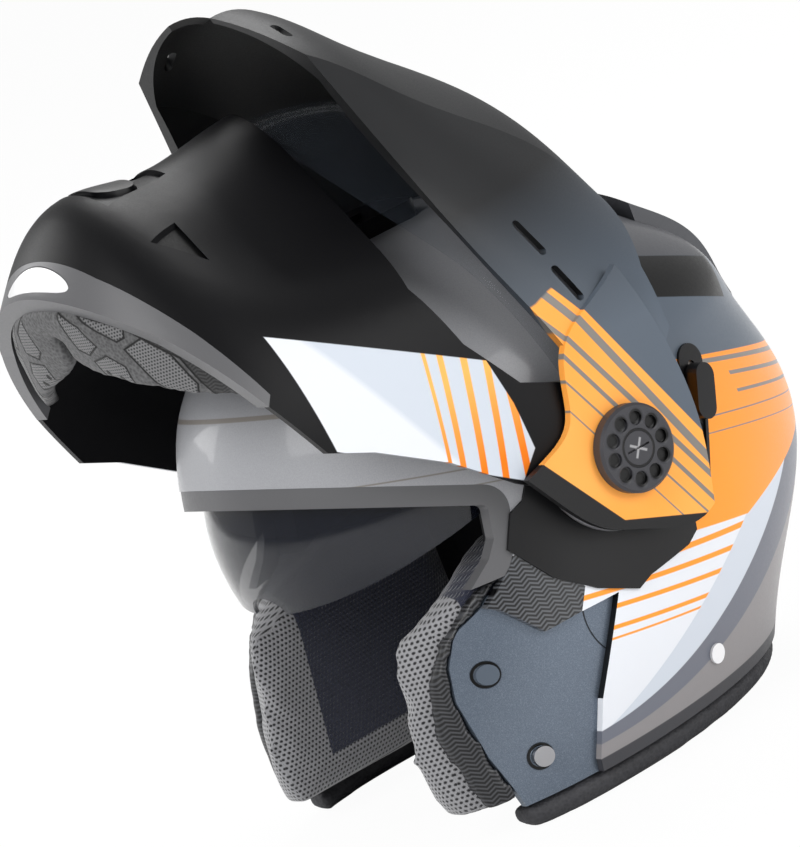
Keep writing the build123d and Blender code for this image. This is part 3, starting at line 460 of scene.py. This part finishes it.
satinBlack = plain("satinBlack", tones["black"], 0.34)
dress(satinBlack, *pair("pivot_plate"), *pair("pivot_cover"), "top_vent", "top_vent_slider")
dress(satinBlack, "sun_visor_track", "sun_visor_lever", "chin_vent_button")
dress(plain("meshBlack", tones["deepBlack"], 0.6), "side_vent_grilles")
dress(plain("darkVent", tones["topGrey"], 0.4), "rear_vent")
dress(plain("lipGrey", tone(92, 92, 94), 0.36), "chin_lip")
dress(plain("leverWhite", tone(240, 240, 241), 0.25, coat=0.5), "release_lever")
dress(plain("pinSteel", tone(160, 160, 163), 0.3, metallic=1.0), "striker_pins", "sun_visor_pins")
dress(plain("rivetBlue", tone(88, 97, 108), 0.4, metallic=0.4), "strap_rivets")
dress(plain("rivetWhite", tone(232, 232, 234), 0.35), "rear_rivets")
dress(plain("gasketGrey", tone(92, 92, 94), 0.4, size=2.0, depth=0.02), "eyeport_gasket")
dress(plain("impactFoam", tone(40, 40, 43), 0.85, size=2.5, depth=0.15), "eps_liner", "chin_bar_foam")
dress(plain("clearLens", tone(70, 76, 84), 0.04, alpha=0.12, depth=0.0), "visor")
dress(plain("smokeLens", tone(26, 29, 38), 0.06, coat=0.4, alpha=0.66, depth=0.0), "sun_visor")


# Knobs: ten glossy hollows in a ring, and a cross on the middle disc; the hollows and the groove round the
# disc are painted near-black as painted shade

knobLook = {
    "hollows": {"count": 10, "ring": 13.6, "radius": 3.3},
    "disc": 8.0,
    "discGroove": 1.0,
    "crossWidth": 1.1,
    "crossLength": 4.6,
    "crossEnds": (((-5.0, 3.4), (5.0, -3.4)), ((-5.0, -7.5), (5.0, 7.5))),
    "hollowEdge": 0.8,
    "hollowDepth": 0.8,
    "grooveDepth": 0.4,
}


def makeKnobPaint():
    paint = Paint("knobPaint", tones["black"], 0.42)
    hollows = knobLook["hollows"]
    turns = np.arange(hollows["count"]) * 2 * np.pi / hollows["count"]
    centres = hollows["ring"] * np.c_[np.cos(turns), np.sin(turns)]
    hollow = paint.chain("MAXIMUM", [paint.disc(centre, hollows["radius"]) for centre in centres])
    ring = paint.band(paint.disc((0.0, 0.0), knobLook["disc"]), knobLook["discGroove"])
    arms = [paint.stripe(*ends, knobLook["crossWidth"]) for ends in knobLook["crossEnds"]]
    cross = paint.within(paint.chain("MAXIMUM", arms), paint.disc((0.0, 0.0), knobLook["crossLength"]))
    # painted shade: near-black in the hollows and in the disc's groove, on the grey face
    colour = paint.mix(paint.cover(hollow), tones["rim"], tones["deepBlack"])
    colour = paint.mix(paint.cover(ring), colour, tones["deepBlack"])
    colour = paint.mix(paint.cover(cross), colour, tone(150, 150, 152))
    paint.give("Base Color", colour)
    paint.bump(paint.beyond(paint.cover(hollow, knobLook["hollowEdge"])), knobLook["hollowDepth"])
    paint.bump(paint.beyond(paint.cover(ring)), knobLook["grooveDepth"])
    return paint.material


dress(makeKnobPaint(), *pair("peak_knob"))


# Side panels: metallic blue-grey with the hairline of a round plate and a ring for each screw, both
# painted near-black as painted shade in their grooves

panelLook = {
    "roundPlate": ((-35.3, -50.8), (-39.3, -62.8), (-33.3, -80.9)),  # three points of its edge
    "hairline": 0.5,
    "screwPlaces": ((-87.0, -67.0), (-80.0, -109.0)),
    "screwRing": 5.2,
    "screwRingWidth": 1.4,
    "flakeSize": 0.45,
    "groove": 0.3,
}


def makePanelPaint():
    paint = Paint("panelPaint", tone(86, 96, 109), 0.36, metallic=0.55, coat=0.3)
    colour = paint.mix(paint.cells(panelLook["flakeSize"]), tone(78, 88, 101), tone(112, 122, 135))
    plate = paint.band(paint.arc(*panelLook["roundPlate"]), panelLook["hairline"])
    ring, width = panelLook["screwRing"], panelLook["screwRingWidth"]
    screws = [paint.band(paint.disc(place, ring), width) for place in panelLook["screwPlaces"]]
    rings = paint.cover(paint.chain("MAXIMUM", [plate, *screws]))
    # painted shade: the hairline and the screw rings are near-black, over grooves of the same shape
    paint.give("Base Color", paint.mix(rings, colour, tones["deepBlack"]))
    paint.bump(paint.beyond(rings), panelLook["groove"])
    return paint.material


dress(makePanelPaint(), *pair("side_panel"))


# Woven look: chevrons under gloss

weaveLook = {
    "threadLevel": 0.27,  # of the weave's wave, where a thread starts
    "threadEdge": 0.12,
    "depth": 0.15,
}


def makeWeave(name, width, height, light, dark, roughness, coat):
    paint = Paint(name, dark, roughness, coat=coat)
    band = paint.weave(width, height)
    thread = paint.cover(paint.math("SUBTRACT", band, weaveLook["threadLevel"]), weaveLook["threadEdge"])
    paint.give("Base Color", paint.mix(thread, dark, light))
    paint.bump(band, weaveLook["depth"])
    return paint.material


insertWeave = makeWeave("insertWeave", 3.2, 1.9, tone(84, 86, 90), tone(15, 15, 17), 0.3, 0.6)
dress(insertWeave, *pair("carbon_insert"))
trimWeave = makeWeave("trimWeave", 3.0, 1.9, tone(66, 67, 70), tone(17, 17, 19), 0.42, 0.1)


# Leather of the neck roll: small wrinkles on slow waves, with painted shade and light on the wrinkles

rollLook = {
    "tone": tone(58, 58, 61),
    "wrinkleShadeAndLight": (0.7, 1.2),  # of the tone: painted shade in the low middle of each wrinkle cell, painted light on its raised edge
    "wrinkleSize": 1.6,
    "waveSize": 6.0,
    "depth": 0.25,
}


def makeLeather():
    paint = Paint("rollLeather", rollLook["tone"], 0.62)
    wrinkle = paint.cells(rollLook["wrinkleSize"])
    wrinkleShadeAndLight = [tuple(share * channel for channel in rollLook["tone"]) for share in rollLook["wrinkleShadeAndLight"]]
    # painted shade and light: darker where the wrinkle bump is low, lighter where it is high
    paint.give("Base Color", paint.mix(wrinkle, *wrinkleShadeAndLight))
    paint.bump(wrinkle, rollLook["depth"])
    paint.bump(paint.noise(rollLook["waveSize"]), rollLook["depth"])
    return paint.material


rollLeather = makeLeather()


# Breath guard: leather with meshed insets in grooves, and a ribbed piping along its edge, with painted
# shade in the grooves, placed in the plan of the shut chin bar

guardLook = {
    "shutTurn": float(np.radians(85.0)),
    # corners of each
    "insets": (
        ((16.0, -159.0), (17.0, -140.5), (22.8, -137.0), (31.7, -140.7), (26.8, -151.2)),
        ((24.0, -158.2), (35.8, -147.8), (43.0, -140.5), (48.5, -141.5), (49.8, -146.0), (38.5, -153.7)),
        (
            (46.0, -136.5), (53.0, -119.0), (59.0, -109.0), (67.0, -106.5),
            (71.0, -113.0), (66.0, -129.0), (57.0, -139.5),
        ),
        ((22.6, -133.5), (23.5, -126.0), (31.0, -119.5), (41.0, -120.5), (41.7, -128.8), (34.4, -135.6)),
    ),
    "edge": ((0.0, -167.5), (22.0, -163.6), (52.2, -149.2), (72.6, -128.4), (79.5, -105.7)),
    "holes": ((27.0, -127.0), (34.5, -123.5)),
    "pipingWidth": 4.0,
    "grooveWidth": 0.9,
    "holeRadius": 1.6,
    "meshPitch": 1.5,
    "meshRadius": 0.45,
    "ribSize": 1.6,
    "pebbleSize": 1.5,
    "grooveEdge": 0.6,
    "grooveDepth": 0.8,
    "pebbleDepth": 0.25,
}


def makeGuardPaint():
    paint = Paint("guardPaint", tone(84, 84, 85), 0.6)
    # the place along the helmet with the chin bar shut: y cos(turn) - z sin(turn)
    across = paint.side
    along = paint.math("MULTIPLY", paint.y, np.cos(guardLook["shutTurn"]))
    along = paint.math("SUBTRACT", along, paint.math("MULTIPLY", paint.z, np.sin(guardLook["shutTurn"])))

    def inside(points):
        sides = zip(points, points[1:] + points[:1])
        return paint.within(*[paint.beyond(paint.line(*ends, across, along)) for ends in sides])

    inset = paint.chain("MAXIMUM", [inside(points) for points in guardLook["insets"]])
    edges = [paint.line(*ends, across, along) for ends in zip(guardLook["edge"], guardLook["edge"][1:])]
    piping = paint.math("SUBTRACT", guardLook["pipingWidth"], paint.within(*edges))
    width = guardLook["grooveWidth"]
    groove = paint.math("MAXIMUM", paint.band(inset, width), paint.band(piping, width))
    spots = [paint.spot(across, along, centre, guardLook["holeRadius"]) for centre in guardLook["holes"]]

    pebbles = paint.cells(guardLook["pebbleSize"])
    # painted shade and light: the leather is darker in the low middle of each pebble cell and lighter on
    # its raised edge, as the bump below
    leather = paint.mix(pebbles, tone(58, 58, 59), tone(100, 100, 101))
    holes = paint.cover(paint.holes(across, along, guardLook["meshPitch"], guardLook["meshRadius"]))
    mesh = paint.mix(holes, tone(112, 112, 113), tone(36, 36, 38))
    rib = guardLook["ribSize"]
    ribs = paint.mix(paint.weave(rib, rib), tone(28, 28, 29), tone(84, 84, 85))
    colour = paint.mix(paint.cover(inset), leather, mesh)
    colour = paint.mix(paint.cover(piping), colour, ribs)
    # painted shade: the grooves round the insets and the piping are near-black
    colour = paint.mix(paint.cover(groove), colour, tones["deepBlack"])
    colour = paint.mix(paint.cover(paint.chain("MAXIMUM", spots)), colour, tones["deepBlack"])
    paint.give("Base Color", colour)
    paint.bump(pebbles, guardLook["pebbleDepth"])
    paint.bump(paint.beyond(paint.cover(groove, guardLook["grooveEdge"])), guardLook["grooveDepth"])
    return paint.material


guardLeather = makeGuardPaint()


# Cheek pads: light perforated mesh ahead and at the foot, dark velvet on the inner face

padLook = {
    "velvetFront": ((-80.0, -20.0), (-92.0, -110.0)),
    "velvetFoot": 108.0,  # below the axis
    "velvetSheen": 0.5,
    "holes": {"pitch": 2.1, "radius": 0.62},
    "sidewaysFrom": 0.72,  # of the facing's share across the helmet
    "pileSize": 0.8,
    "fluffSize": 0.7,
    "clothDepth": 0.3,
}


def makePadCloth():
    paint = Paint("padCloth", tone(36, 39, 56), 0.9)
    paint.shader.inputs["Sheen Weight"].default_value = padLook["velvetSheen"]
    turned = paint.math("ABSOLUTE", paint.parts(paint.facing)[0])
    across = paint.tree.nodes.new("ShaderNodeMix")
    paint.feed(across, (paint.math("GREATER_THAN", turned, padLook["sidewaysFrom"]),))
    paint.tree.links.new(paint.x, across.inputs[2])
    paint.tree.links.new(paint.y, across.inputs[3])
    pitch, radius = padLook["holes"]["pitch"], padLook["holes"]["radius"]
    holes = paint.cover(paint.holes(across.outputs[0], paint.z, pitch, radius))
    mesh = paint.mix(holes, tone(142, 142, 145), tone(30, 30, 33))
    velvet = paint.mix(paint.noise(padLook["pileSize"]), tone(26, 29, 44), tone(46, 50, 68))
    front = paint.line(*padLook["velvetFront"])
    zone = paint.within(front, paint.math("ADD", paint.z, padLook["velvetFoot"]))
    paint.give("Base Color", paint.mix(paint.cover(zone), mesh, velvet))
    paint.bump(paint.beyond(holes), padLook["clothDepth"])
    paint.bump(paint.noise(padLook["fluffSize"]), padLook["clothDepth"])
    return paint.material


padCloth = makePadCloth()
liningCloth = plain("liningCloth", tone(34, 36, 48), 0.95, size=0.7, depth=0.08)
print("hard parts painted")


# Soft parts: each is remeshed from its solid's form and blown up a little as sewn foam is

cloth = {"pressure": 4.0, "stiffness": 40, "lastFrame": 16}
smoothing = {"share": 0.5, "rounds": 3}


def apply(piece):
    graph = bpy.context.evaluated_depsgraph_get()
    mesh = bpy.data.meshes.new_from_object(piece.evaluated_get(graph))
    piece.modifiers.clear()
    piece.data = mesh


def corners(piece):
    flat = np.empty(3 * len(piece.data.vertices))
    piece.data.vertices.foreach_get("co", flat)
    return flat.reshape(-1, 3)


def inflate(piece, reach):
    # cloth that its own pressure fills; a corner that moved further than the reach is brought
    # back to it along its own way
    before = corners(piece)
    modifier = piece.modifiers.new("cloth", "CLOTH")
    settings = modifier.settings
    settings.use_pressure = True
    settings.uniform_pressure_force = cloth["pressure"]
    settings.effector_weights.gravity = 0
    settings.tension_stiffness = cloth["stiffness"]
    settings.compression_stiffness = cloth["stiffness"]
    modifier.point_cache.frame_start = 1
    modifier.point_cache.frame_end = cloth["lastFrame"]
    scene = bpy.context.scene
    for number in range(1, cloth["lastFrame"] + 1):
        scene.frame_set(number)
        bpy.context.view_layer.update()
    apply(piece)
    scene.frame_set(1)
    shift = corners(piece) - before
    length = np.linalg.norm(shift, axis=1, keepdims=True)
    capped = before + shift * np.minimum(1, reach * mm / np.maximum(length, 1e-9))
    piece.data.vertices.foreach_set("co", capped.ravel())


def soften(name, material, cell, reach):
    source = nodes[name]
    first, *others = name.split("_")
    title = first + "".join(word.capitalize() for word in others)
    piece = bpy.data.objects.new(title, source.data.copy())
    bpy.context.scene.collection.objects.link(piece)
    remesh = piece.modifiers.new("remesh", "REMESH")
    remesh.mode = "VOXEL"
    remesh.voxel_size = cell * mm
    smooth = piece.modifiers.new("smooth", "SMOOTH")
    smooth.factor = smoothing["share"]
    smooth.iterations = smoothing["rounds"]
    apply(piece)
    inflate(piece, reach)
    finer = piece.modifiers.new("finer", "SUBSURF")
    finer.levels = 1
    finer.render_levels = 1
    apply(piece)
    piece.data.materials.clear()
    piece.data.materials.append(material)
    piece.data.shade_smooth()
    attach(piece, source["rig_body"])
    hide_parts(name)


# cell and reach in mm, and how full each is
for name in pair("cheek_pad"):
    soften(name, padCloth, cell=4.0, reach=2.5)
for name in pair("cheek_trim"):
    soften(name, trimWeave, cell=2.0, reach=1.0)
soften("neck_roll", rollLeather, cell=4.0, reach=1.5)
soften("crown_liner", liningCloth, cell=4.0, reach=1.5)
soften("breath_guard", guardLeather, cell=2.5, reach=1.5)
print("soft parts made")


# Stage and camera

view = {
    "place": (1.815, -1.100, 0.592),
    "right": (0.53585, 0.76558, -0.35603),
    "up": (0.02605, 0.40649, 0.91328),
    "back": (0.84391, -0.49866, 0.19787),
    "focal": 4800.0,  # in pixels of the photograph
    "longSide": 847.0,
    "sensor": 36.0,
    "far": 20.0,
}
stage = {"lit": 0.42, "seen": 1.0}
floorLook = {"half": 6.0, "tone": 0.86, "roughness": 0.9, "glow": 0.96}
aimHeight = 0.16
# place, size and power of each lamp
lamps = {
    "keyLeft": ((0.6, -2.0, 1.7), (1.4, 1.4), 38),
    "sideRight": ((2.2, 0.9, 1.0), (1.2, 1.6), 30),
    "backTop": ((-0.8, 1.2, 2.0), (1.6, 1.0), 36),
    "farLeft": ((-2.0, -0.8, 1.2), (1.0, 1.4), 18),
}


def makeCamera():
    camera = bpy.data.cameras.new("camera")
    camera.sensor_width = view["sensor"]
    camera.lens = view["focal"] * view["sensor"] / view["longSide"]
    camera.clip_end = view["far"]
    holder = bpy.data.objects.new("camera", camera)
    bpy.context.scene.collection.objects.link(holder)
    turn = Matrix((view["right"], view["up"], view["back"])).transposed().to_4x4()
    holder.matrix_world = Matrix.Translation(view["place"]) @ turn
    bpy.context.scene.camera = holder


def addLamp(name, place, size, power):
    lamp = bpy.data.lights.new(name, "AREA")
    lamp.shape = "RECTANGLE"
    lamp.size, lamp.size_y = size
    lamp.energy = power
    holder = bpy.data.objects.new(name, lamp)
    bpy.context.scene.collection.objects.link(holder)
    aim = Vector((0, 0, aimHeight)) - Vector(place)
    holder.rotation_euler = aim.to_track_quat("-Z", "Y").to_euler()
    holder.location = place


def seenDirectly(tree):
    # 1 for rays from the camera and through glass, else 0
    path = tree.nodes.new("ShaderNodeLightPath")
    first = tree.nodes.new("ShaderNodeMath")
    first.operation = "MAXIMUM"
    tree.links.new(path.outputs["Is Camera Ray"], first.inputs[0])
    tree.links.new(path.outputs["Is Transmission Ray"], first.inputs[1])
    return first.outputs[0]


def makeStage():
    bpy.context.scene.view_settings.view_transform = "Standard"
    world = bpy.data.worlds.new("studio")
    bpy.context.scene.world = world
    world.use_nodes = True
    tree = world.node_tree
    background = tree.nodes["Background"]
    background.inputs["Color"].default_value = (1, 1, 1, 1)
    strength = tree.nodes.new("ShaderNodeMapRange")
    strength.inputs["To Min"].default_value = stage["lit"]
    strength.inputs["To Max"].default_value = stage["seen"]
    tree.links.new(seenDirectly(tree), strength.inputs["Value"])
    tree.links.new(strength.outputs[0], background.inputs["Strength"])

    floor = bpy.data.meshes.new("floor")
    half = floorLook["half"]
    ends = ((-half, -half, 0), (half, -half, 0), (half, half, 0), (-half, half, 0))
    floor.from_pydata(ends, [], [(0, 1, 2, 3)])
    ground = bpy.data.objects.new("floor", floor)
    bpy.context.scene.collection.objects.link(ground)
    paint = bpy.data.materials.new("floor")
    paint.use_nodes = True
    tree = paint.node_tree
    shader = tree.nodes["Principled BSDF"]
    shader.inputs["Base Color"].default_value = (*[floorLook["tone"]] * 3, 1)
    shader.inputs["Roughness"].default_value = floorLook["roughness"]
    glow = tree.nodes.new("ShaderNodeEmission")
    glow.inputs["Color"].default_value = (1, 1, 1, 1)
    mix = tree.nodes.new("ShaderNodeMixShader")
    share = tree.nodes.new("ShaderNodeMath")
    share.operation = "MULTIPLY"
    share.inputs[1].default_value = floorLook["glow"]
    tree.links.new(seenDirectly(tree), share.inputs[0])
    tree.links.new(share.outputs[0], mix.inputs[0])
    tree.links.new(shader.outputs[0], mix.inputs[1])
    tree.links.new(glow.outputs[0], mix.inputs[2])
    tree.links.new(mix.outputs[0], tree.nodes["Material Output"].inputs["Surface"])
    floor.materials.append(paint)

    for name, (place, size, power) in lamps.items():
        addLamp(name, place, size, power)


makeCamera()
makeStage()
print("stage and camera made")
